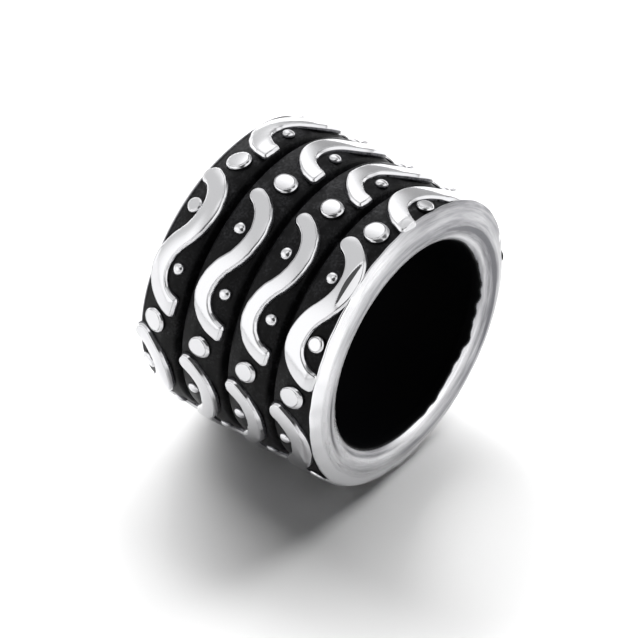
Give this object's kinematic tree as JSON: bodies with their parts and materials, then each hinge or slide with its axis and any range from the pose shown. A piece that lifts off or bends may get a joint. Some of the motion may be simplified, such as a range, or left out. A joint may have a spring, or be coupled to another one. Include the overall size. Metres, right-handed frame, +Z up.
{
  "type": "dreadlock bead",
  "caption": "Short barrel-shaped large-hole bead that grips a lock of hair, cast with rows of raised waves, discs and dots on a dark ground.",
  "frame": {"origin": "middle of the bottom of the bounding box, on the surface that the bead lies on", "axes": "+X along the bore, towards the front end with the broad lip; +Z up"},
  "size_m": [0.0088, 0.012, 0.012],
  "materials": {
    "polished_steel": "polished",
    "blackened_steel": "blackened and dull"
  },
  "bodies": {
    "root": {"bead": "polished_steel"}
  },
  "joints": []
}
